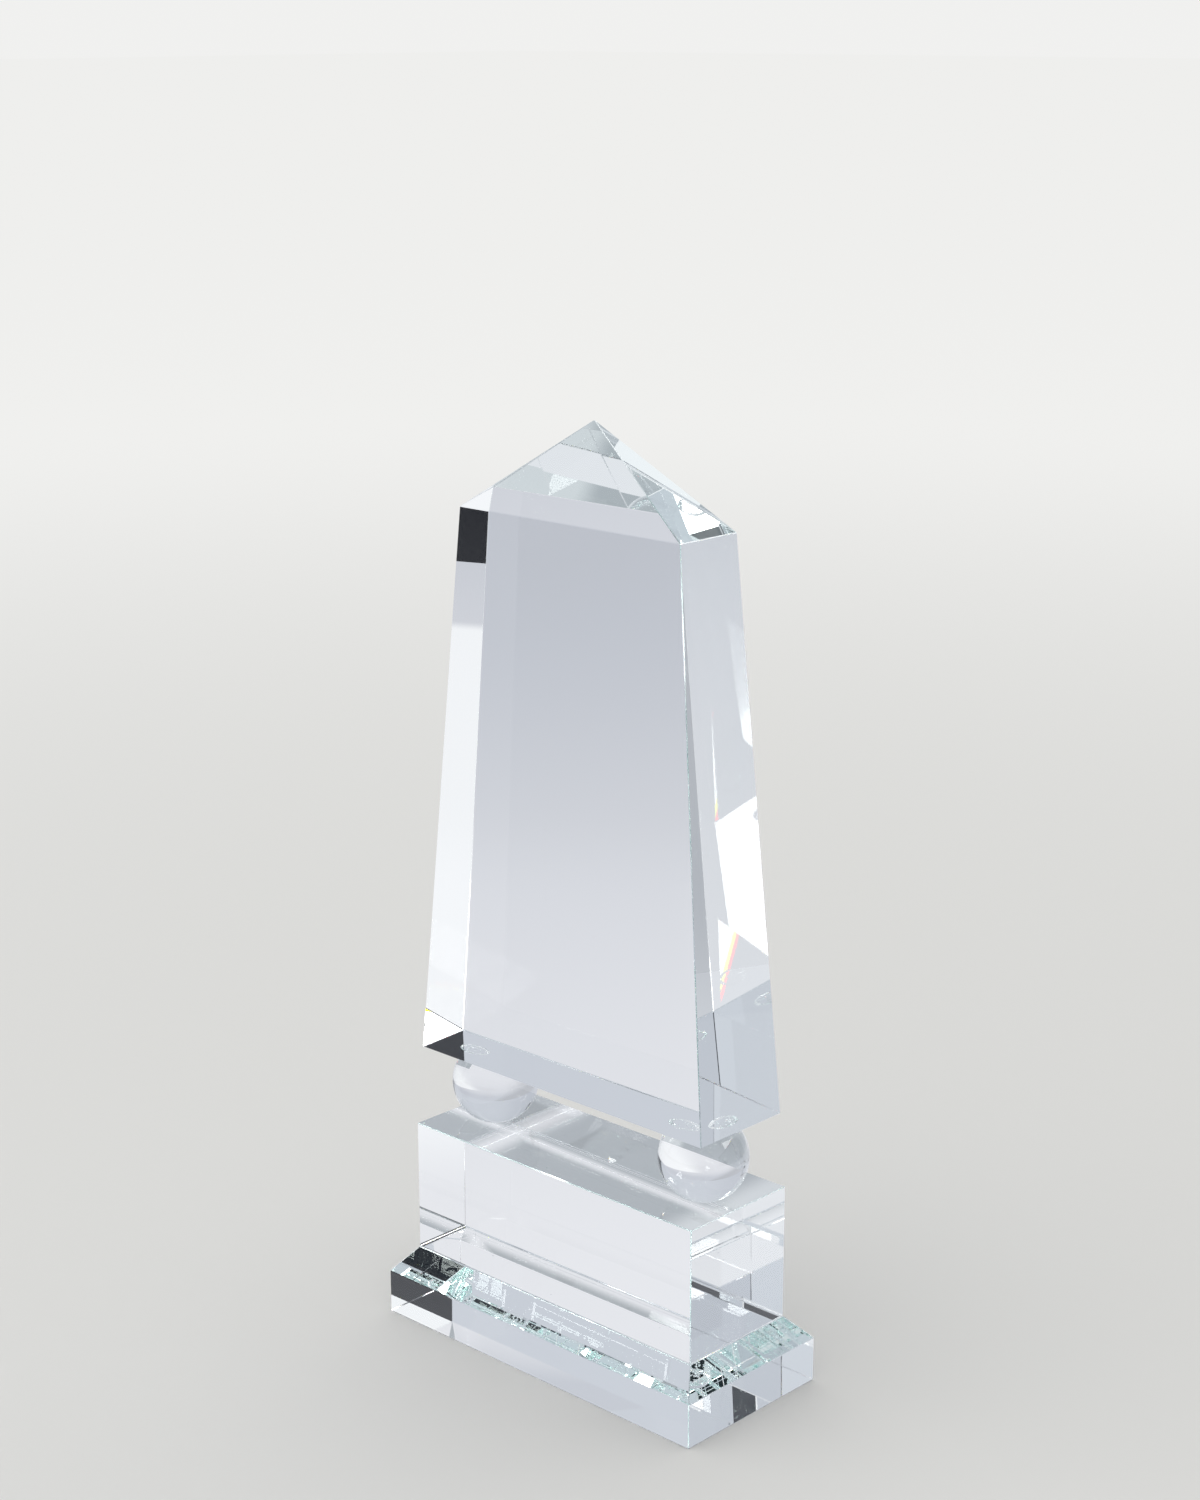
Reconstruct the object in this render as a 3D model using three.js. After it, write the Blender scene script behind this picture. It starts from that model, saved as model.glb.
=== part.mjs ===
// Crystal award: a tapered obelisk carried on two crystal balls, over a riser block and a
// chamfered base plate. Every crystal piece is ground and polished separately, and the stack
// is bonded with clear adhesive, so nothing moves. The base stands on its own polished
// underside.
//
// Millimetres. +Z up, X along the length, -Y is the front. The origin is the middle of the
// footprint, on the table.

import * as THREE from 'three';
import { ConvexGeometry } from 'three/addons/geometries/ConvexGeometry.js';

// ---- Driving dimensions ---------------------------------------------------------------------

const BALL_DIAMETER = 40;        // stock crystal ball, which sets the size of the whole award
const BALL_SPACING = 128;        // centre to centre
const BALL_GAP = 36;             // clear height between riser and obelisk

const RISER_LENGTH = 169;
const RISER_SECTION = 62;        // the riser is square in section

const BASE_LENGTH = 187;
const BASE_DEPTH = 84;
const BASE_EDGE = 20.5;          // upright edge, below the chamfers
const BASE_CHAMFER = 11.5;       // rise of the chamfers, which end at the riser's footprint

const OBELISK_FOOT = [170.5, 52];
const OBELISK_EAVES = [128, 35]; // where the shaft ends and the pyramid starts
const SHAFT_HEIGHT = 253;
const TIP_HEIGHT = 42;

const GLUE = 0.25;               // thickness of every bond line
const GLUE_SPOT_DIAMETER = 17;   // the bond under and over each ball
const GLUE_INSET = 1.5;          // the film stops this far short of the riser's sides

const BALL_SEGMENTS = 48;        // round the ball
const BALL_STEPS = 20;           // from flat to flat
const SPOT_SEGMENTS = 40;        // round each glue spot

// ---- Heights of the stack -------------------------------------------------------------------

const baseTop = BASE_EDGE + BASE_CHAMFER;
const riserBottom = baseTop + GLUE;
const riserTop = riserBottom + RISER_SECTION;
const obeliskFoot = riserTop + BALL_GAP;
const obeliskEaves = obeliskFoot + SHAFT_HEIGHT;
const obeliskTip = obeliskEaves + TIP_HEIGHT;
const ballMiddle = riserTop + BALL_GAP / 2;

// ---- Finishes -------------------------------------------------------------------------------

function clear(name, color, roughness, opacity) {
  const finish = new THREE.MeshStandardMaterial({ color, roughness, metalness: 0, opacity });
  finish.name = name;
  finish.transparent = true;
  return finish;
}

const crystal = () => clear('crystal', 0xeef3f4, 0.02, 0.35);
const adhesive = () => clear('adhesive', 0xf2f5f4, 0.15, 0.5);

// ---- Helpers --------------------------------------------------------------------------------

const award = new THREE.Group();

function add(name, geometry, material, x, y, z) {
  const mesh = new THREE.Mesh(geometry, material);
  mesh.name = name;
  mesh.position.set(x, y, z);
  award.add(mesh);
}

// Four corners of a level rectangle, centred on the upright axis.
function corners(length, depth, z) {
  const points = [];
  for (const side of [-1, 1]) {
    for (const end of [-1, 1]) {
      points.push(new THREE.Vector3(end * length / 2, side * depth / 2, z));
    }
  }
  return points;
}

// ---- Base plate: upright edge, then chamfers up to the riser's footprint ---------------------

function basePlate() {
  return new ConvexGeometry([
    ...corners(BASE_LENGTH, BASE_DEPTH, 0),
    ...corners(BASE_LENGTH, BASE_DEPTH, BASE_EDGE),
    ...corners(RISER_LENGTH, RISER_SECTION, baseTop),
  ]);
}

add('base_plinth', basePlate(), crystal(), 0, 0, 0);

// ---- Riser block on its film of adhesive -----------------------------------------------------

const filmLength = RISER_LENGTH - 2 * GLUE_INSET;
const filmDepth = RISER_SECTION - 2 * GLUE_INSET;
const film = new THREE.BoxGeometry(filmLength, filmDepth, GLUE);
add('glue_film_riser', film, adhesive(), 0, 0, baseTop + GLUE / 2);

const riser = new THREE.BoxGeometry(RISER_LENGTH, RISER_SECTION, RISER_SECTION);
add('riser_block', riser, crystal(), 0, 0, riserBottom + RISER_SECTION / 2);

// ---- Two balls, each ground flat below and above, with a glue spot on each flat ---------------

function flattedBall() {
  const radius = BALL_DIAMETER / 2;
  const halfHeight = BALL_GAP / 2 - GLUE;
  const flatRadius = Math.sqrt(radius ** 2 - halfHeight ** 2);
  const start = Math.atan2(halfHeight, flatRadius);
  const profile = [new THREE.Vector2(0, -halfHeight)];
  for (let step = 0; step <= BALL_STEPS; step++) {
    const angle = start * (2 * step / BALL_STEPS - 1);
    profile.push(new THREE.Vector2(radius * Math.cos(angle), radius * Math.sin(angle)));
  }
  profile.push(new THREE.Vector2(0, halfHeight));
  return new THREE.LatheGeometry(profile, BALL_SEGMENTS).rotateX(Math.PI / 2);
}

function glueSpot() {
  const radius = GLUE_SPOT_DIAMETER / 2;
  return new THREE.CylinderGeometry(radius, radius, GLUE, SPOT_SEGMENTS).rotateX(Math.PI / 2);
}

for (const [hand, end] of [['left', -1], ['right', 1]]) {
  const x = end * BALL_SPACING / 2;
  add(`glue_bottom_${hand}`, glueSpot(), adhesive(), x, 0, riserTop + GLUE / 2);
  add(`ball_${hand}`, flattedBall(), crystal(), x, 0, ballMiddle);
  add(`glue_top_${hand}`, glueSpot(), adhesive(), x, 0, obeliskFoot - GLUE / 2);
}

// ---- Obelisk: four tapered sides and a four-sided pyramid ------------------------------------

function obelisk() {
  return new ConvexGeometry([
    ...corners(...OBELISK_FOOT, obeliskFoot),
    ...corners(...OBELISK_EAVES, obeliskEaves),
    new THREE.Vector3(0, 0, obeliskTip),
  ]);
}

add('obelisk', obelisk(), crystal(), 0, 0, 0);

export default award;
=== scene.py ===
# %% [markdown]
# # A crystal award in Blender
#
# The award is a tapered crystal obelisk on two crystal balls, over a riser block and a chamfered
# base plate. Every piece is ground, polished and then glued to the next with clear adhesive.
#
# The CAD model gives every size and place. Here each crystal piece is modelled again with the
# small things that make cut crystal look real: arrises (the tiny ground chamfers along every
# edge), bonded contact faces that light crosses without bending, and a shader that bends light as
# optical crystal does.

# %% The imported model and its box
import math

import bpy
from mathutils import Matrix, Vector


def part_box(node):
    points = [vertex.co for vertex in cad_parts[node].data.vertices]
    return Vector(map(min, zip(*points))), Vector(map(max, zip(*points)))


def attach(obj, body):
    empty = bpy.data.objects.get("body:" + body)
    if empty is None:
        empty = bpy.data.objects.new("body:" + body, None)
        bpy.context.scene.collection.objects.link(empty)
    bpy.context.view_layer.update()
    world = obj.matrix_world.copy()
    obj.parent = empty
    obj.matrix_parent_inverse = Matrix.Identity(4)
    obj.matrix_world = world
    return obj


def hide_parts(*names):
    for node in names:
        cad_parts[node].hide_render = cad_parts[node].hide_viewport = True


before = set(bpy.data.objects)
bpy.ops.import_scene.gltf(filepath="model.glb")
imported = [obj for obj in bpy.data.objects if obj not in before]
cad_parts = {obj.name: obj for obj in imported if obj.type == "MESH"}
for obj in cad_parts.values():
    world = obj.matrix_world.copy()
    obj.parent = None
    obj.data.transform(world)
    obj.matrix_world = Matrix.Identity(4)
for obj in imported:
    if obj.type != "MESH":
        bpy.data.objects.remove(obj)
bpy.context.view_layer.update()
print("CAD pieces:", sorted(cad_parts))


# %% [markdown]
# ## What the CAD model says
#
# A node's place is in its mesh, so the levels of its corners say everything about a cut block: how
# high each level is, and how long and deep the piece is there. Reading them is safer than typing
# them again, because a change to the CAD model then reaches every piece here.

# %% Levels of a cut block
MM = 0.001


def levels(node):
    """[(height, half length, half depth), ...] of a CAD node's corners, from the lowest up."""
    found = {}
    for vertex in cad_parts[node].data.vertices:
        x, y, z = vertex.co
        key = round(z / MM, 2)
        half_x, half_y = found.get(key, (0.0, 0.0))
        found[key] = (max(half_x, abs(x)), max(half_y, abs(y)))
    return [(key * MM, *found[key]) for key in sorted(found)]


for name in ("base_plinth", "riser_block", "obelisk"):
    print(name, [tuple(round(v / MM, 2) for v in level) for level in levels(name)])


# %% [markdown]
# ## Working by selection
#
# Blender's modelling operators act on whatever is selected, so a step by script is: clear the
# selection, pick faces by where they are or which way they look, run the operator. These helpers
# keep every step to a line or two.

# %% Selection helpers
FLAT = 0.999  # two directions whose cosine is above this count as the same


def deselect_all():
    if bpy.context.mode != "OBJECT":
        bpy.ops.object.mode_set(mode="OBJECT")
    bpy.ops.object.select_all(action="DESELECT")


def work_on(piece):
    deselect_all()
    piece.select_set(True)
    bpy.context.view_layer.objects.active = piece


def place_in_mesh(piece):
    """Moves the object's place, turn and scale into its mesh."""
    work_on(piece)
    bpy.ops.object.transform_apply(location=True, rotation=True, scale=True)


def pick_faces(piece, test):
    """Selects the faces whose (centre, normal) pass the test, and leaves edit mode on."""
    bpy.ops.object.mode_set(mode="EDIT")
    bpy.ops.mesh.select_mode(type="FACE")
    bpy.ops.mesh.select_all(action="DESELECT")
    bpy.ops.object.mode_set(mode="OBJECT")
    for face in piece.data.polygons:
        face.select = bool(test(face.center, face.normal))
    bpy.ops.object.mode_set(mode="EDIT")


def looks_up(centre, normal):
    return normal.z > FLAT


def looks_down(centre, normal):
    return normal.z < -FLAT


# %% [markdown]
# ## Cutting a block
#
# A crystal shop saws a block, grinds its faces flat and then takes a hair off every edge, because
# a sharp glass edge chips. The same order works here: a cube at the block's lowest level, its top
# face extruded and scaled to each further level, then one bevel along all edges. A subdivision
# surface would round the faces, and a boolean would leave long thin triangles, so neither is used.

# %% Block and taper
def cut_block(name, steps, tip=None):
    """A block through the levels in steps, closed by a point at height tip if that is given."""
    (z0, x0, y0), (z1, x1, y1) = steps[:2]
    deselect_all()
    bpy.ops.mesh.primitive_cube_add(
        size=1, location=(0, 0, (z0 + z1) / 2), scale=(2 * x0, 2 * y0, z1 - z0)
    )
    piece = bpy.context.object
    piece.name = piece.data.name = name
    place_in_mesh(piece)
    pick_faces(piece, looks_up)
    bpy.ops.transform.resize(value=(x1 / x0, y1 / y0, 1), center_override=(0, 0, z1))
    for (z_low, x_low, y_low), (z, x, y) in zip(steps[1:], steps[2:]):
        bpy.ops.mesh.extrude_region_move(TRANSFORM_OT_translate={"value": (0, 0, z - z_low)})
        bpy.ops.transform.resize(value=(x / x_low, y / y_low, 1), center_override=(0, 0, z))
    if tip is not None:
        bpy.ops.mesh.extrude_region_move(
            TRANSFORM_OT_translate={"value": (0, 0, tip - steps[-1][0])}
        )
        bpy.ops.mesh.merge(type="CENTER")
    bpy.ops.object.mode_set(mode="OBJECT")
    return piece


# %% [markdown]
# ## Bonded faces
#
# Adhesive of nearly the crystal's own refractive index fills the joint between two pieces, so
# light goes straight across it. A path tracer bends light at every surface, and two glass faces
# laid together would act as an air gap and turn into a mirror. So the patch where a piece is glued
# carries a mark of its own, a face attribute called `bonded`, and the crystal shader lets light
# through unbent there. A second material slot could say the same, but Cycles keeps count of what
# solid a ray is in by material, and one material for the whole piece keeps that count right.
#
# A thin film under a wide face wets it all over. A spot under a ball does not: it's pressed out in
# rings and swirls with air between them, and gets a second mark, `spotted`.

# %% Face marks
BONDED = "bonded"  # 1 on a face that the adhesive wets all over
SPOTTED = "spotted"  # 1 on a round face that the adhesive wets only in rings
GROUND = "ground"  # 1 on the arrises


def add_marks(piece):
    work_on(piece)
    for mark in (GROUND, BONDED, SPOTTED):
        bpy.ops.geometry.attribute_add(name=mark, domain="FACE", data_type="FLOAT")


def mark_selected(piece, mark):
    """Sets a face attribute to 1 on the selected faces, in edit mode."""
    piece.data.attributes.active = piece.data.attributes[mark]
    bpy.ops.mesh.attribute_set(value_float=1.0)


def marked(piece, mark):
    """How many of a piece's faces carry a mark."""
    return sum(1 for value in piece.data.attributes[mark].data if value.value > 0.5)


print("face marks:", GROUND, BONDED, SPOTTED)


# %% [markdown]
# ## Arrises
#
# The flat along an edge is called an arris, and it's the first thing that tells cut crystal from
# a computer's perfect prism: it catches a thin bright or dark line all round a piece. One bevel
# with a single segment makes all of them, while the block still has only its few real edges. The
# bevel's WIDTH setting gives the flat the same width at shallow and at steep edges.

# %% Arrises
ARRIS = 0.45 * MM  # width of the flat ground along every edge


def grind_arrises(piece):
    """Bevels every edge of a cut block and marks the new flats as ground."""
    add_marks(piece)
    polished = [face.normal.copy() for face in piece.data.polygons]
    bpy.ops.object.mode_set(mode="EDIT")
    bpy.ops.mesh.select_mode(type="EDGE")
    bpy.ops.mesh.select_all(action="SELECT")
    bpy.ops.mesh.bevel(offset=ARRIS, offset_type="WIDTH", segments=1, affect="EDGES")
    bpy.ops.object.mode_set(mode="OBJECT")
    pick_faces(piece, lambda centre, normal: all(normal.dot(flat) < FLAT for flat in polished))
    mark_selected(piece, GROUND)
    bpy.ops.object.mode_set(mode="OBJECT")


print("arrises", round(ARRIS / MM, 2), "mm wide")


# %% [markdown]
# ## Laying a bond in a face
#
# The bonds come after the arrises, so that the bevel leaves them alone. A rectangle is an inset. A
# round patch needs a circle in the middle of a big flat face: the face is deleted, its outline and
# the circles are filled together, and then each circle is filled by itself.

# %% Rectangular bond and round bonds
ROUND_STEPS = 96
ON_LEVEL = 0.01 * MM  # a corner this near to a level is on it
ON_CIRCLE = 0.05 * MM


def bond_inset(piece, side, margin, mark=BONDED):
    """Insets the piece's level face on that side (looks_up or looks_down) and marks the inside."""
    work_on(piece)
    pick_faces(piece, side)
    bpy.ops.mesh.inset(thickness=margin, depth=0)
    mark_selected(piece, mark)
    bpy.ops.object.mode_set(mode="OBJECT")


def pick_circle(piece, x, height, radius):
    """Selects the corners on a level circle, and leaves edit mode on."""
    bpy.ops.mesh.select_mode(type="VERT")
    bpy.ops.mesh.select_all(action="DESELECT")
    bpy.ops.object.mode_set(mode="OBJECT")
    for vertex in piece.data.vertices:
        level = abs(vertex.co.z - height) < ON_LEVEL
        away = math.hypot(vertex.co.x - x, vertex.co.y)
        vertex.select = level and abs(away - radius) < ON_CIRCLE
    bpy.ops.object.mode_set(mode="EDIT")


def bond_rounds(piece, side, height, centres, radius):
    """Lays round bonded patches in the piece's level face at that height."""
    work_on(piece)
    pick_faces(piece, lambda centre, normal: side(centre, normal) and abs(centre.z - height) < MM)
    bpy.ops.mesh.delete(type="ONLY_FACE")
    for x in centres:
        bpy.ops.mesh.primitive_circle_add(
            vertices=ROUND_STEPS, radius=radius, fill_type="NOTHING", location=(x, 0, height)
        )
    bpy.ops.mesh.select_mode(type="EDGE")
    bpy.ops.mesh.select_all(action="DESELECT")
    bpy.ops.mesh.select_non_manifold()
    bpy.ops.mesh.fill(use_beauty=True)
    for x in centres:
        pick_circle(piece, x, height, radius)
        bpy.ops.mesh.edge_face_add()
        bpy.ops.mesh.select_mode(type="FACE")
        mark_selected(piece, SPOTTED)
    bpy.ops.mesh.select_all(action="SELECT")
    bpy.ops.mesh.normals_make_consistent(inside=False)
    bpy.ops.object.mode_set(mode="OBJECT")


def tell(piece):
    """Prints a piece's faces, and how many of them are marked."""
    counts = {mark: marked(piece, mark) for mark in (GROUND, BONDED, SPOTTED)}
    print(piece.name, len(piece.data.polygons), "faces", counts)


print("a round bond has", ROUND_STEPS, "steps")


# %% [markdown]
# ## The bonds' places
#
# Each ball sits between two spots of adhesive, and the riser on a thin film that stops short of
# its edges. Their radius, centres and margin are read from the CAD nodes that stand for them.

# %% Where the adhesive is
spot_low, spot_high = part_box("glue_top_left")
SPOT_RADIUS = (spot_high.x - spot_low.x) / 2
BALL_PLACES = [sum(corner.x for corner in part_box(name)) / 2 for name in ("ball_left", "ball_right")]
riser_low, riser_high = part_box("riser_block")
film_low, film_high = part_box("glue_film_riser")
FILM_MARGIN = film_low.x - riser_low.x
print("spots", round(SPOT_RADIUS / MM, 2), "at x", [round(x / MM, 1) for x in BALL_PLACES])
print("film margin", round(FILM_MARGIN / MM, 2), "mm")


# %% [markdown]
# ## Obelisk
#
# One tall crystal: four faces that lean in slightly from the foot to the eaves, and a pyramid of
# four facets to a point. Its optical quality is in its flat faces, so it's built from exactly those
# nine planes.

# %% Obelisk
shaft = levels("obelisk")
obelisk = cut_block("obelisk_cut", shaft[:-1], tip=shaft[-1][0])
grind_arrises(obelisk)
bond_rounds(obelisk, looks_down, shaft[0][0], BALL_PLACES, SPOT_RADIUS)
tell(obelisk)


# %% [markdown]
# ## Riser and base
#
# The riser is a plain polished bar, square in section. The base is a plate whose four top edges
# are cut back as broad chamfers, which end exactly at the riser's footprint.

# %% Riser
FILM_INSET = FILM_MARGIN - 0.7 * ARRIS  # a square edge's arris takes 0.7 of its width off a face

riser = cut_block("riser_cut", levels("riser_block"))
grind_arrises(riser)
bond_rounds(riser, looks_up, riser_high.z, BALL_PLACES, SPOT_RADIUS)
bond_inset(riser, looks_down, FILM_INSET)
tell(riser)

# %% Base
base = cut_block("base_cut", levels("base_plinth"))
grind_arrises(base)
bond_inset(base, looks_up, FILM_MARGIN)
tell(base)


# %% [markdown]
# ## Balls
#
# A crystal ball is ground round and polished, and then a flat is ground on it above and below so
# that it can be glued. A fine UV sphere is cut at the two flats with bisect, which also closes
# them. The flat is a little wider than the adhesive, and the ring of air left around it is what
# shows as a bright ring under the obelisk.

# %% Balls
BALL_SEGMENTS = 192
SMOOTH_UP_TO = math.radians(12)  # below this the ball's facets blend, and its flats stay flat


def turned_ball(name, node):
    """A ball with a flat below and above, in the place of a CAD node."""
    low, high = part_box(node)
    middle = (low + high) / 2
    radius = (high.x - low.x) / 2
    half_height = (high.z - low.z) / 2
    flat_radius = math.sqrt(radius**2 - half_height**2)
    deselect_all()
    bpy.ops.mesh.primitive_uv_sphere_add(
        segments=BALL_SEGMENTS, ring_count=BALL_SEGMENTS // 2, radius=radius, location=middle
    )
    ball = bpy.context.object
    ball.name = ball.data.name = name
    place_in_mesh(ball)
    add_marks(ball)
    for way, side in ((1, looks_up), (-1, looks_down)):
        bpy.ops.object.mode_set(mode="EDIT")
        bpy.ops.mesh.select_mode(type="FACE")
        bpy.ops.mesh.select_all(action="SELECT")
        bpy.ops.mesh.bisect(
            plane_co=(middle.x, middle.y, middle.z + way * half_height),
            plane_no=(0, 0, way),
            use_fill=True,
            clear_outer=True,
        )
        bpy.ops.object.mode_set(mode="OBJECT")
        bond_inset(ball, side, flat_radius - SPOT_RADIUS, SPOTTED)
    work_on(ball)
    bpy.ops.object.shade_smooth_by_angle(angle=SMOOTH_UP_TO)
    tell(ball)
    return ball


balls = {node: turned_ball(node + "_cut", node) for node in ("ball_left", "ball_right")}


# %% [markdown]
# ## Adhesive
#
# The glue is water-clear and a quarter of a millimetre thick, so only its rim shows: a thin bead
# that the two faces squeezed out. Each spot is a thin disc whose rim is bevelled round. Its two
# broad faces are bonded ones, and they stop a hair short of the crystal, because a ray that meets
# two faces in the very same place would notice only one of them.

# %% Adhesive spots
HAIR = 0.01 * MM  # gap between an adhesive face and the crystal it holds
RIM_ROUND = 0.42  # of the thickness, so that the two rounds of a rim nearly meet
RIM_STEPS = 3
RIM_SMOOTH = math.radians(50)


def round_rim(piece):
    """Rounds the rim of a thin level piece and marks its two broad faces as bonded."""
    add_marks(piece)
    rounding = RIM_ROUND * piece.dimensions.z
    bpy.ops.object.mode_set(mode="EDIT")
    bpy.ops.mesh.select_mode(type="EDGE")
    bpy.ops.mesh.select_all(action="SELECT")
    bpy.ops.mesh.bevel(offset=rounding, segments=RIM_STEPS, affect="EDGES")
    bpy.ops.object.mode_set(mode="OBJECT")
    for side in (looks_up, looks_down):
        pick_faces(piece, side)
        mark_selected(piece, BONDED)
        bpy.ops.object.mode_set(mode="OBJECT")
    bpy.ops.object.shade_smooth_by_angle(angle=RIM_SMOOTH)


def glue_spot(name, node):
    """A thin round spot of adhesive in the place of a CAD node."""
    low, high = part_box(node)
    middle = (low + high) / 2
    deselect_all()
    bpy.ops.mesh.primitive_cylinder_add(
        vertices=ROUND_STEPS,
        radius=SPOT_RADIUS,
        depth=high.z - low.z - 2 * HAIR,
        location=middle,
    )
    spot = bpy.context.object
    spot.name = spot.data.name = name
    place_in_mesh(spot)
    round_rim(spot)
    tell(spot)
    return spot


SPOT_NODES = ("glue_top_left", "glue_top_right", "glue_bottom_left", "glue_bottom_right")
spots = {node: glue_spot(node + "_bead", node) for node in SPOT_NODES}

# %% Adhesive film
film_size = film_high - film_low
deselect_all()
bpy.ops.mesh.primitive_cube_add(
    size=1,
    location=(film_low + film_high) / 2,
    scale=(film_size.x, film_size.y, film_size.z - 2 * HAIR),
)
film = bpy.context.object
film.name = film.data.name = "glue_film_bead"
place_in_mesh(film)
round_rim(film)
print("film", tuple(round(v / MM, 2) for v in film.dimensions))


# %% [markdown]
# ## Building materials by script
#
# A material is a tree of nodes, and written out node by node it's long and hard to read. A few
# small helpers make a finish read like a sum: each adds one node, feeds it and gives back its
# output. When a tree is done, every node is moved to a column of its own depth, so the tree also
# reads well in the shader editor.

# %% One node at a time
def node(tree, kind, **settings):
    made = tree.nodes.new(kind)
    for name, value in settings.items():
        setattr(made, name, value)
    return made


def feed(tree, socket, value):
    """Links a value that is a socket itself, or sets it as the socket's own value."""
    if isinstance(value, bpy.types.NodeSocket):
        tree.links.new(value, socket)
    else:
        socket.default_value = value


def maths(tree, operation, *values):
    made = node(tree, "ShaderNodeMath", operation=operation)
    for socket, value in zip(made.inputs, values):
        feed(tree, socket, value)
    return made.outputs[0]


def length(tree, place):
    """How far a place is from the middle of the award's foot."""
    made = node(tree, "ShaderNodeVectorMath", operation="LENGTH")
    feed(tree, made.inputs[0], place)
    return made.outputs["Value"]


def along(tree, place, axis):
    """How far a place lies along an axis."""
    made = node(tree, "ShaderNodeVectorMath", operation="DOT_PRODUCT")
    feed(tree, made.inputs[0], place)
    feed(tree, made.inputs[1], axis)
    return made.outputs["Value"]


def parts(tree, vector):
    """The X, Y and Z of a vector."""
    made = node(tree, "ShaderNodeSeparateXYZ")
    feed(tree, made.inputs[0], vector)
    return made.outputs


# %% Fades, colours and noise
NOISE_DETAIL = 2


def fade(tree, value, start, end):
    """0 before start and 1 after end, with a soft step between."""
    span = node(tree, "ShaderNodeMapRange", interpolation_type="SMOOTHSTEP")
    feed(tree, span.inputs["Value"], value)
    span.inputs["From Min"].default_value = start
    span.inputs["From Max"].default_value = end
    return span.outputs["Result"]


def feed_colour(tree, socket, colour):
    """Links a colour that is a socket itself, or sets (red, green, blue)."""
    feed(tree, socket, (*colour, 1) if isinstance(colour, tuple) else colour)


def blend(tree, share, first, second):
    """A colour between two, by share."""
    mix = node(tree, "ShaderNodeMix", data_type="RGBA")
    tree.links.new(share, mix.inputs["Factor"])
    feed_colour(tree, mix.inputs["A"], first)
    feed_colour(tree, mix.inputs["B"], second)
    return mix.outputs["Result"]


def noise(tree, place, scale):
    made = node(tree, "ShaderNodeTexNoise")
    feed(tree, made.inputs["Vector"], place)
    made.inputs["Scale"].default_value = scale
    made.inputs["Detail"].default_value = NOISE_DETAIL
    return made.outputs["Fac"]


def face_mark(tree, mark):
    return node(tree, "ShaderNodeAttribute", attribute_name=mark).outputs["Fac"]


# %% Starting and ending a material
COLUMN = 240
ROW = 280


def new_material(name):
    material = bpy.data.materials.new(name)
    material.use_nodes = True
    material.node_tree.nodes.clear()
    return material, material.node_tree


def lay_out(tree):
    """Puts every node in a column by how many links it stands before the output."""
    depth = {made.name: 0 for made in tree.nodes}
    for _ in tree.nodes:
        for link in tree.links:
            behind = depth[link.to_node.name] + 1
            depth[link.from_node.name] = max(depth[link.from_node.name], behind)
    rows = {}
    for made in tree.nodes:
        column = depth[made.name]
        rows[column] = rows.get(column, 0) + 1
        made.location = (-COLUMN * column, -ROW * rows[column])


def end_material(material, surface, volume=None):
    tree = material.node_tree
    out = node(tree, "ShaderNodeOutputMaterial")
    tree.links.new(surface, out.inputs["Surface"])
    if volume is not None:
        tree.links.new(volume, out.inputs["Volume"])
    lay_out(tree)
    print(material.name, len(tree.nodes), "nodes")
    return material


# %% [markdown]
# ## Rings, swirls and bubbles in the adhesive
#
# A drop of adhesive pressed between a ball and a block spreads in uneven rings and traps air, which
# is why a glued ball shows a small bright coil at each contact. Modelling the coil would take
# thousands of tiny faces. A pattern is enough, because all it has to say is wet or dry: distance
# from the spot's centre, made to waver by a noise, gives the rings, and the cell edges of a Voronoi
# texture give the swirls. The pattern reads Object coordinates, so the two faces of a joint, on two
# pieces, agree on it.

# %% Rings and swirls
SPOT_AWAY = BALL_PLACES[1]  # how far each spot's centre is from the award's middle
HALF_PITCH = 1.7 * MM  # half of the way from one ring to the next
HALF_RING = 0.55 * MM  # half of a ring's width
RIM_WIDTH = 1.0 * MM
WAVER = 1.6 * MM
WAVER_SCALE = 260  # scales are in cells per metre
GAP_SCALE = 190
GAP_LEVEL = 0.47  # a ring is broken where the noise is below this
SWIRL_CELLS = 450
HALF_SWIRL = 0.13  # half of a swirl line's width, in cells
PATCH_SCALE = 150
PATCH_LEVEL = 0.52  # swirls stand only where the noise is above this


def wavering_radius(tree, place):
    """Distance from the middle of the nearer spot, pushed in and out a little by a noise."""
    x, y, _ = parts(tree, place)
    across = maths(tree, "SUBTRACT", maths(tree, "ABSOLUTE", x), SPOT_AWAY)
    square = maths(tree, "MULTIPLY", y, y)
    radius = maths(tree, "SQRT", maths(tree, "MULTIPLY_ADD", across, across, square))
    push = maths(tree, "SUBTRACT", noise(tree, place, WAVER_SCALE), 0.5)
    return maths(tree, "ADD", radius, maths(tree, "MULTIPLY", push, WAVER))


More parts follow.
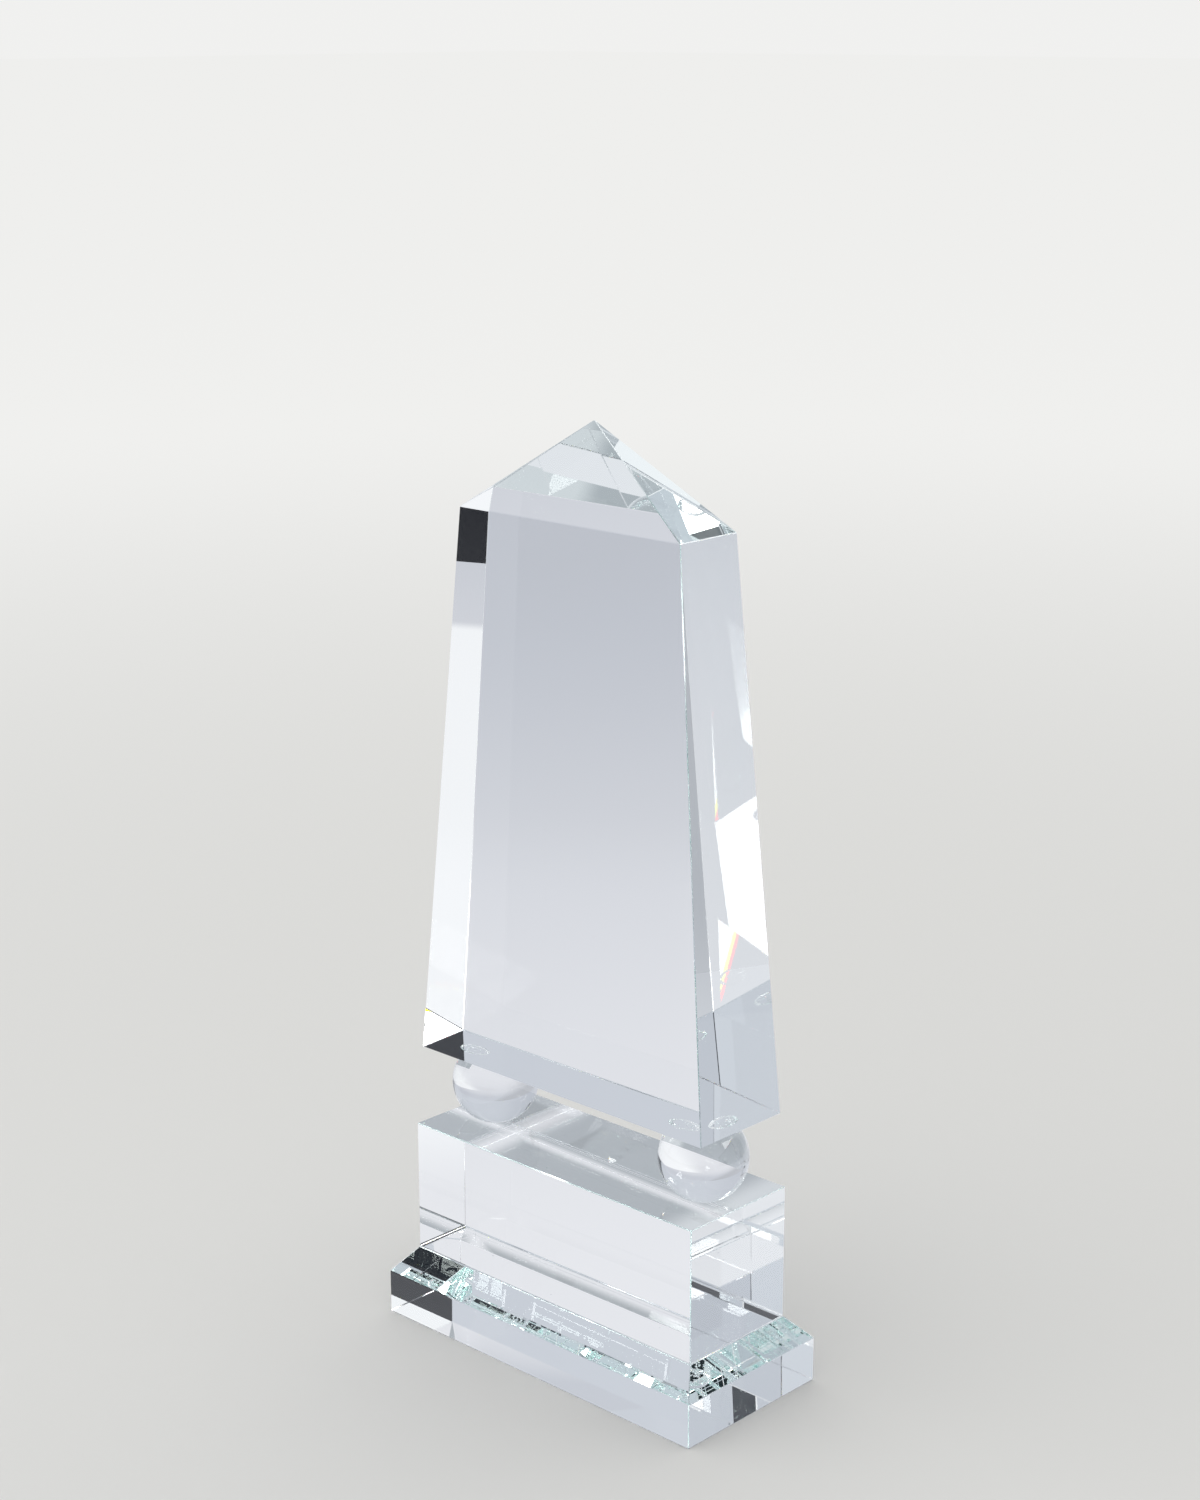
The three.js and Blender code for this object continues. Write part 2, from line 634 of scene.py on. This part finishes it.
def adhesive_rings(tree, place):
    """1 where the adhesive of a round spot wets the crystal: broken rings, swirls and a rim."""
    radius = wavering_radius(tree, place)
    ring = maths(tree, "LESS_THAN", maths(tree, "PINGPONG", radius, HALF_PITCH), HALF_RING)
    kept = maths(tree, "GREATER_THAN", noise(tree, place, GAP_SCALE), GAP_LEVEL)
    ring = maths(tree, "MULTIPLY", ring, kept)
    cells = node(tree, "ShaderNodeTexVoronoi", feature="DISTANCE_TO_EDGE")
    feed(tree, cells.inputs["Vector"], place)
    cells.inputs["Scale"].default_value = SWIRL_CELLS
    swirl = maths(tree, "LESS_THAN", cells.outputs["Distance"], HALF_SWIRL)
    patch = maths(tree, "GREATER_THAN", noise(tree, place, PATCH_SCALE), PATCH_LEVEL)
    swirl = maths(tree, "MULTIPLY", swirl, patch)
    rim = maths(tree, "GREATER_THAN", radius, SPOT_RADIUS - RIM_WIDTH - 0.2 * WAVER)
    return maths(tree, "MAXIMUM", maths(tree, "MAXIMUM", ring, swirl), rim)


print("rings every", round(2 * HALF_PITCH / MM, 2), "mm round x =", round(SPOT_AWAY / MM, 1), "mm")

# %% Bubbles
BUBBLE_CELLS = 210
BUBBLE_RADIUS = 0.1  # in cells
BUBBLE_SHARE = 0.06  # of the cells that hold a bubble


def bubbles(tree, place):
    """1 in the few tiny bubbles of the adhesive film."""
    cells = node(tree, "ShaderNodeTexVoronoi", feature="F1")
    feed(tree, cells.inputs["Vector"], place)
    cells.inputs["Scale"].default_value = BUBBLE_CELLS
    inside = maths(tree, "LESS_THAN", cells.outputs["Distance"], BUBBLE_RADIUS)
    chosen = maths(tree, "LESS_THAN", parts(tree, cells.outputs["Color"])["X"], BUBBLE_SHARE)
    return maths(tree, "MULTIPLY", inside, chosen)


print("bubble radius", round(BUBBLE_RADIUS / BUBBLE_CELLS / MM, 2), "mm")


# %% [markdown]
# ## Crystal
#
# Optical crystal bends light by an index of about 1.52, and it is so clear that its faint aqua only
# shows where light has gone a long way through it. So the surface is a clear Principled shader with
# full transmission, and the tint is a Volume Absorption: what it takes off grows with the path, as
# in the real thing. A tint on the surface would colour thin and thick places alike.
#
# Nothing real is perfectly polished. A soft noise gives the faces a faint wave and the arrises are
# ground matt. Where adhesive wets a face, the shader's Alpha is 0 and light goes on unbent. A
# bubble, or the gap between two rings, is a spot where the bare crystal face is back.

# %% Clear surfaces
CRYSTAL_IOR = 1.52
ADHESIVE_IOR = 1.5
GROUND_ROUGHNESS = 0.15
WAVE_DEPTH = 0.1 * MM
WAVE_SCALE = 14


def clear_shader(tree, ior, roughness):
    shader = node(tree, "ShaderNodeBsdfPrincipled")
    shader.inputs["Base Color"].default_value = (1, 1, 1, 1)
    shader.inputs["Transmission Weight"].default_value = 1
    shader.inputs["IOR"].default_value = ior
    feed(tree, shader.inputs["Roughness"], roughness)
    return shader


def wave(tree, shader, height, strength, depth):
    bump = node(tree, "ShaderNodeBump")
    bump.inputs["Strength"].default_value = strength
    bump.inputs["Distance"].default_value = depth
    tree.links.new(height, bump.inputs["Height"])
    tree.links.new(bump.outputs["Normal"], shader.inputs["Normal"])


# %% Crystal
RED_LOSS = 0.115  # share of red light lost per metre of crystal, and the same for green and blue
GREEN_LOSS = 0.008
BLUE_LOSS = 0.03


def crystal(name, wave_strength):
    """Polished crystal with ground arrises and adhesive on its marked faces."""
    material, tree = new_material(name)
    place = node(tree, "ShaderNodeTexCoord").outputs["Object"]
    ground = maths(tree, "MULTIPLY", face_mark(tree, GROUND), GROUND_ROUGHNESS)
    shader = clear_shader(tree, CRYSTAL_IOR, ground)
    wave(tree, shader, noise(tree, place, WAVE_SCALE), wave_strength, WAVE_DEPTH)

    whole = maths(tree, "SUBTRACT", 1, bubbles(tree, place))
    film_wets = maths(tree, "MULTIPLY", face_mark(tree, BONDED), whole)
    spot_wets = maths(tree, "MULTIPLY", face_mark(tree, SPOTTED), adhesive_rings(tree, place))
    wetted = maths(tree, "ADD", film_wets, spot_wets)
    tree.links.new(maths(tree, "SUBTRACT", 1, wetted), shader.inputs["Alpha"])

    inside = node(tree, "ShaderNodeVolumeAbsorption")
    inside.inputs["Color"].default_value = (1 - RED_LOSS, 1 - GREEN_LOSS, 1 - BLUE_LOSS, 1)
    inside.inputs["Density"].default_value = 1
    return end_material(material, shader.outputs[0], inside.outputs[0])


# %% [markdown]
# ## Adhesive finish
#
# Only the rim of a joint is seen, a soft bead with a slightly lumpy skin. It's the same clear
# surface with a little roughness and a much finer, stronger wave, and no tint, because it's too
# thin to show any.

# %% Adhesive finish
BEAD_ROUGHNESS = 0.08
BEAD_LUMPS = 900
BEAD_LUMP_STRENGTH = 0.3
BEAD_LUMP_DEPTH = 0.2 * MM


def adhesive(name):
    """Clear adhesive, seen only at the rim of a joint."""
    material, tree = new_material(name)
    place = node(tree, "ShaderNodeTexCoord").outputs["Object"]
    shader = clear_shader(tree, ADHESIVE_IOR, BEAD_ROUGHNESS)
    wave(tree, shader, noise(tree, place, BEAD_LUMPS), BEAD_LUMP_STRENGTH, BEAD_LUMP_DEPTH)
    seen = maths(tree, "SUBTRACT", 1, face_mark(tree, BONDED))
    tree.links.new(seen, shader.inputs["Alpha"])
    return end_material(material, shader.outputs[0])


# %% [markdown]
# ## Dressing the pieces
#
# Each crystal gets its own material, because each is polished on its own and its faces wave a
# little differently: the tall obelisk most, and the base, a plate lapped flat, least. The two balls
# come from one batch and share one. Each piece also hides the CAD node it stands for.

# %% Dressing the pieces
OBELISK_WAVE = 0.002
RISER_WAVE = 0.001
BASE_WAVE = 0.0003
BALL_WAVE = 0.001


def dress(piece, material, slot, *nodes):
    """Gives a piece its finish, hides the CAD nodes it stands for and hangs it on the root body. slot
    is not used.
    """
    piece.data.materials.clear()
    piece.data.materials.append(material)
    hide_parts(*nodes)
    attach(piece, "root")


dress(obelisk, crystal("obelisk crystal", OBELISK_WAVE), "obelisk_crystal", "obelisk")
dress(riser, crystal("riser crystal", RISER_WAVE), "riser_crystal", "riser_block")
dress(base, crystal("base crystal", BASE_WAVE), "base_crystal", "base_plinth")
ball_finish = crystal("ball crystal", BALL_WAVE)
for cad_node, piece in balls.items():
    dress(piece, ball_finish, "ball_crystal", cad_node)
glue_finish = adhesive("clear adhesive")
for cad_node, piece in spots.items():
    dress(piece, glue_finish, "clear_adhesive", cad_node)
dress(film, glue_finish, "clear_adhesive", "glue_film_riser")


# %% [markdown]
# ## Camera
#
# A fairly long lens from about a metre away, a little above the award and turned well round to its
# right-hand end, so that the front, the end and the chamfers all show.

# %% Camera
CAMERA_AZIMUTH = math.radians(43.43)  # from straight in front towards the right-hand end
CAMERA_HEIGHT = math.radians(15.22)
CAMERA_ROLL = math.radians(-0.11)
CAMERA_DISTANCE = 1.1692
LOOK_AT = Vector((0.00285, 0, 0.2828))
LENS = 65.17
SENSOR = 36
UP = Vector((0, 0, 1))

back = Vector(
    (
        math.sin(CAMERA_AZIMUTH) * math.cos(CAMERA_HEIGHT),
        -math.cos(CAMERA_AZIMUTH) * math.cos(CAMERA_HEIGHT),
        math.sin(CAMERA_HEIGHT),
    )
)
bpy.ops.object.camera_add(location=LOOK_AT + back * CAMERA_DISTANCE)
camera = bpy.context.object
camera.rotation_euler = back.to_track_quat("Z", "Y").to_euler()
camera.rotation_euler.rotate_axis("Z", CAMERA_ROLL)
camera.data.lens = LENS
camera.data.sensor_width = SENSOR
bpy.context.scene.camera = camera
AWAY = Vector((-back.x, -back.y, 0)).normalized()
RIGHT = AWAY.cross(UP)
print("camera", [round(v, 3) for v in camera.location], "right", [round(v, 3) for v in RIGHT])


# %% [markdown]
# ## Floor and room
#
# The floor is plain, matt and pale, and fades to near white far off, so no horizon shows. The room
# is one even near-white. Light bounces round inside cut crystal dozens of times before it finds a
# way out, so the number of bounces is set high, or the chamfers would be speckled with black.

# %% Room
BOUNCES = 120
ROOM = (0.875, 0.875, 0.865)

scene = bpy.context.scene
scene.view_settings.view_transform = "Standard"
scene.cycles.max_bounces = BOUNCES
scene.cycles.transmission_bounces = BOUNCES
scene.cycles.glossy_bounces = BOUNCES
scene.cycles.transparent_max_bounces = 2 * BOUNCES

world = bpy.data.worlds.new("soft room")
world.use_nodes = True
world.node_tree.nodes["Background"].inputs["Color"].default_value = (*ROOM, 1)
scene.world = world
print("bounces", BOUNCES)

# %% Floor
FLOOR_SIZE = 60
FLOOR_DROP = 0.2 * MM  # keeps the floor and the polished underside from meeting in one plane
FLOOR_FADE = (0.4, 3.0)
NEAR_TONE = (0.775, 0.775, 0.765)
FAR_TONE = (0.985, 0.985, 0.98)


def stage_plane(name, size, location, material, rotation=(0, 0, 0)):
    deselect_all()
    bpy.ops.mesh.primitive_plane_add(size=1, location=location, rotation=rotation)
    plane = bpy.context.object
    plane.name = name
    plane.scale = (size[0], size[1], 1)
    plane.data.materials.append(material)
    return plane


def floor_finish():
    """A plain matt grey that fades to near white in the distance."""
    material, tree = new_material("pale floor")
    place = node(tree, "ShaderNodeNewGeometry").outputs["Position"]
    tone = blend(tree, fade(tree, length(tree, place), *FLOOR_FADE), NEAR_TONE, FAR_TONE)
    shader = node(tree, "ShaderNodeBsdfPrincipled")
    shader.inputs["Roughness"].default_value = 1
    shader.inputs["Specular IOR Level"].default_value = 0
    tree.links.new(tone, shader.inputs["Base Color"])
    return end_material(material, shader.outputs[0])


floor = stage_plane("floor", (FLOOR_SIZE, FLOOR_SIZE), (0, 0, -FLOOR_DROP), floor_finish())
floor.visible_transmission = False
floor.visible_glossy = False
print("floor", FLOOR_SIZE, "m square")


# %% [markdown]
# ## What the crystal sees
#
# Clear crystal shows nothing of its own, only what stands around it, so a studio builds a small set
# for the crystal to see, out of the camera's sight: a pale table, a grey tent, dark flags at the
# sides and a softbox. Here each of them is a luminous surface that only bent and mirrored rays can
# see. The camera and the floor see just the plain floor and the even room. All of it stands at
# fixed places round the award, measured along AWAY and RIGHT.

# %% Luminous finish
def luminous(name, colour_from, strength=1.0):
    """A finish that gives light. colour_from(tree, place) is a colour, or a socket for one."""
    material, tree = new_material(name)
    place = node(tree, "ShaderNodeNewGeometry").outputs["Position"]
    light = node(tree, "ShaderNodeEmission")
    feed_colour(tree, light.inputs["Color"], colour_from(tree, place))
    light.inputs["Strength"].default_value = strength
    return end_material(material, light.outputs[0])


def only_for_crystal(thing):
    thing.visible_camera = False
    thing.visible_diffuse = False
    thing.visible_shadow = False
    thing.visible_volume_scatter = False
    return thing


# %% [markdown]
# ## Grey tent
#
# The tent is a great ball of pale cloth round the whole set, a little dimmer on the left.

# %% Grey tent
TENT_RADIUS = 6.0
TENT_SEGMENTS = 64
TENT_FADE = (-0.75 * TENT_RADIUS, 0.4)
LIGHT_GREY = (0.597, 0.631, 0.693)
DIM_GREY = (0.497, 0.527, 0.591)


def tent_colour(tree, place):
    return blend(tree, fade(tree, along(tree, place, RIGHT), *TENT_FADE), DIM_GREY, LIGHT_GREY)


deselect_all()
bpy.ops.mesh.primitive_uv_sphere_add(
    segments=TENT_SEGMENTS, ring_count=TENT_SEGMENTS // 2, radius=TENT_RADIUS
)
tent = only_for_crystal(bpy.context.object)
tent.name = "grey_tent"
tent.data.materials.append(luminous("grey tent", tent_colour))
print("tent", TENT_RADIUS, "m in radius")


# %% [markdown]
# ## Set table
#
# The table lies just under the floor. It's brightest by the award, and dim where the base shades
# it. A white card lies on it to the right. Far to the left and towards the camera it's unlit,
# because cut crystal looks like crystal only when a few of its facets are dark. Each pair is where
# a fade starts and ends, in metres.

# %% Table colours
NEAR_TABLE = (0.807, 0.815, 0.855)
FAR_TABLE = (0.571, 0.597, 0.658)
DIM_TABLE = (0.474, 0.491, 0.533)
WHITE_CARD = (0.956, 0.974, 1.0)
SHADED = (0.39, 0.42, 0.45)
SHADED_LESS = (0.66, 0.69, 0.72)
UNLIT = (0.013, 0.013, 0.016)

TABLE_FADE = (0, 1.3)
DIM_LEFT = (0.08, 0.45)
CARD_STARTS = (0.05, 0.2)
CARD_ENDS = (0.755, 0.775)
CARD_HALF = 0.6
UNLIT_LEFT = (0.8, 1.1)
UNLIT_LEFT_ENDS = (0.6, 1.0)
UNLIT_FRONT = (0.5, 0.9)
UNLIT_FRONT_LEFT = (-0.3, 0.3)
print("card from", CARD_STARTS[0], "to", CARD_ENDS[1], "m on the right")

# %% Shade under the base
_, HALF_LENGTH, HALF_WIDTH = levels("base_plinth")[0]
PAST_END = (HALF_LENGTH - 14 * MM, HALF_LENGTH)
PAST_SIDE = (HALF_WIDTH - 6 * MM, HALF_WIDTH)
SHADE_LESSENS = (18 * MM, 35 * MM)
X_AXIS = (1, 0, 0)
Y_AXIS = (0, 1, 0)


def with_shade(tree, place, colour):
    """The table's colour, with the shade that the base throws on the patch it stands on."""
    x = along(tree, place, X_AXIS)
    y = along(tree, place, Y_AXIS)
    past_end = fade(tree, maths(tree, "ABSOLUTE", x), *PAST_END)
    past_side = fade(tree, maths(tree, "ABSOLUTE", y), *PAST_SIDE)
    shade = blend(tree, fade(tree, x, *SHADE_LESSENS), SHADED, SHADED_LESS)
    return blend(tree, maths(tree, "MAXIMUM", past_end, past_side), shade, colour)


# %% Set table
TABLE_SIZE = 11


def with_card(tree, colour, side, away):
    """The table's colour, with the white card on it."""
    card = maths(tree, "SUBTRACT", fade(tree, side, *CARD_STARTS), fade(tree, side, *CARD_ENDS))
    beside = maths(tree, "LESS_THAN", maths(tree, "ABSOLUTE", away), CARD_HALF)
    return blend(tree, maths(tree, "MULTIPLY", card, beside), colour, WHITE_CARD)


def table_colour(tree, place):
    side = along(tree, place, RIGHT)
    away = along(tree, place, AWAY)
    left = maths(tree, "MULTIPLY", side, -1)
    nearer = maths(tree, "MULTIPLY", away, -1)
    colour = blend(tree, fade(tree, length(tree, place), *TABLE_FADE), NEAR_TABLE, FAR_TABLE)
    colour = blend(tree, fade(tree, left, *DIM_LEFT), colour, DIM_TABLE)
    colour = with_shade(tree, place, with_card(tree, colour, side, away))
    not_far = maths(tree, "SUBTRACT", 1, fade(tree, away, *UNLIT_LEFT_ENDS))
    far_left = maths(tree, "MULTIPLY", fade(tree, left, *UNLIT_LEFT), not_far)
    colour = blend(tree, far_left, colour, UNLIT)
    front_left = fade(tree, left, *UNLIT_FRONT_LEFT)
    front = maths(tree, "MULTIPLY", fade(tree, nearer, *UNLIT_FRONT), front_left)
    return blend(tree, front, colour, UNLIT)


table_finish = luminous("set table", table_colour)
table_place = (0, 0, -2 * FLOOR_DROP)
only_for_crystal(stage_plane("set_table", (TABLE_SIZE, TABLE_SIZE), table_place, table_finish))
print("set table", TABLE_SIZE, "m square")


# %% [markdown]
# ## Flags
#
# A flag is a black panel that stands beside the subject, so that some facets have something dark to
# show. One stands near, on the right.

# %% Upright panels
def upright(name, side, near, far, low, high, material):
    """An upright panel beside the award. side is how far right, near and far how far away."""
    middle = RIGHT * side + AWAY * (near + far) / 2 + Vector((0, 0, (low + high) / 2))
    facing = (math.pi / 2, 0, math.atan2(AWAY.y, AWAY.x))
    panel = stage_plane(name, (far - near, high - low), middle, material, facing)
    only_for_crystal(panel)
    print(name, round(far - near, 2), "by", round(high - low, 2), "m")


# %% Black flag
FLAG_SIDE = 0.90
FLAG_NEAR = -1.2
FLAG_FAR = 0.45
FLAG_TOP = 0.60
BLACK = (0.004, 0.005, 0.009)

flag_finish = luminous("black flag", lambda tree, place: BLACK)
upright("black_flag", FLAG_SIDE, FLAG_NEAR, FLAG_FAR, 0, FLAG_TOP, flag_finish)


# %% [markdown]
# ## Softbox
#
# Above the flag hangs a softbox, several times brighter than white, which fills a few facets of the
# obelisk with pure white.
#
# Real crystal spreads such a light into colours. The path tracer bends all colours alike, so the
# softbox's edge is given its red a little further out than its green and its blue, which puts a
# thin warm fringe along the white facets.

# %% Softbox
BOX_SIDE = 0.92
BOX_NEAR = -0.5
BOX_FAR = 0.22
BOX_LOW = 0.62
BOX_HIGH = 1.1
BOX_LIGHT = 6.0
COLOUR_STEP = 0.003
Z_AXIS = (0, 0, 1)


def box_colour(tree, place):
    """White, with its red, green and blue edges a little apart."""
    away = along(tree, place, AWAY)
    height = along(tree, place, Z_AXIS)
    lit = node(tree, "ShaderNodeCombineColor")
    for steps, channel in enumerate(("Red", "Green", "Blue")):
        inset = COLOUR_STEP * steps
        within = maths(tree, "LESS_THAN", away, BOX_FAR - inset)
        above = maths(tree, "GREATER_THAN", height, BOX_LOW + inset)
        tree.links.new(maths(tree, "MULTIPLY", within, above), lit.inputs[channel])
    return lit.outputs["Color"]


box_finish = luminous("softbox", box_colour, BOX_LIGHT)
upright("softbox", BOX_SIDE, BOX_NEAR, BOX_FAR, BOX_LOW, BOX_HIGH, box_finish)


# %% [markdown]
# ## Navy flags
#
# Two more flags stand far to the left, a tall narrow one and, further back, a square one hung high.
# They are navy and not black, as dark cloth is when a little daylight reaches it.

# %% Navy flags
NAVY_SIDE = -2.6
NAVY_EXTENTS = {  # near, far, low and high
    "navy_flag_near": (0.35, 0.69, 0.1, 3.0),
    "navy_flag_far": (0.92, 1.99, 1.3, 2.3),
}
NAVY = (0.008, 0.010, 0.021)

navy_finish = luminous("navy flag", lambda tree, place: NAVY)
for name, extent in NAVY_EXTENTS.items():
    upright(name, NAVY_SIDE, *extent, navy_finish)


# %% [markdown]
# ## Light
#
# One wide soft light from high on the left lifts the floor evenly and gives the award a faint
# shadow.

# %% Soft light
LIGHT_PLACE = (-0.8, -1.2, 2.2)
LIGHT_AIM = Vector((0, 0, 0.1))
LIGHT_SIZE = 2.0
LIGHT_POWER = 4.0

bpy.ops.object.light_add(type="AREA", location=LIGHT_PLACE)
key = bpy.context.object
key.data.shape = "DISK"
key.data.size = LIGHT_SIZE
key.data.energy = LIGHT_POWER
key.rotation_euler = (key.location - LIGHT_AIM).to_track_quat("Z", "Y").to_euler()
key.visible_glossy = False
key.visible_transmission = False
print("soft light", LIGHT_POWER, "W")
